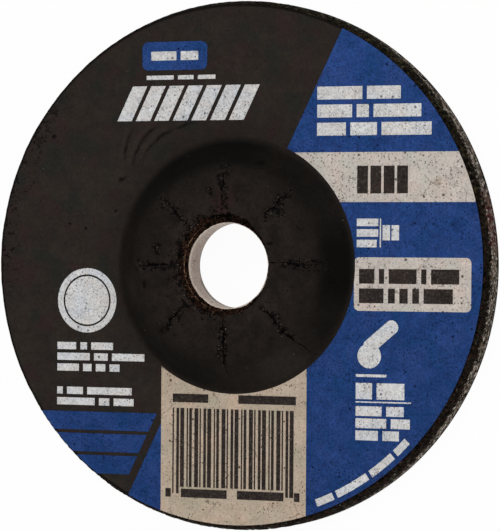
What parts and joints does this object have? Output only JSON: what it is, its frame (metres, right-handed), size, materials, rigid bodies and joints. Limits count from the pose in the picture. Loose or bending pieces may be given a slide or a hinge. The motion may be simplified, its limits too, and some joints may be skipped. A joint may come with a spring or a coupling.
{
  "type": "depressed-centre grinding wheel",
  "caption": "Flat abrasive wheel with a raised hub, steel-lined bore and printed paper label, for grinding with an angle grinder.",
  "frame": {"origin": "on the bore's axis, in the plane of the work face that the wheel lies on", "axes": "+Z along the bore's axis, out of the labelled side; +X towards the right of the label"},
  "size_m": [0.1, 0.1, 0.01],
  "materials": {
    "abrasive": "coarse dark resin-bonded grain",
    "ring_steel": "dull plated, finely pitted",
    "label_black": "matt black printed paper",
    "ink_blue": "matt blue ink on paper",
    "ink_grey": "matt pale grey paper with dark specks",
    "ink_cream": "matt cream paper with dark specks",
    "ink_white": "matt white ink, worn",
    "ink_dark": "matt near-black ink"
  },
  "bodies": {
    "root": {"abrasive_wheel": "abrasive", "bore_ring": "ring_steel", "label": "label_black", "print_blue": "ink_blue", "print_grey": "ink_grey", "print_cream": "ink_cream", "print_white": "ink_white", "print_dark": "ink_dark"}
  },
  "joints": []
}
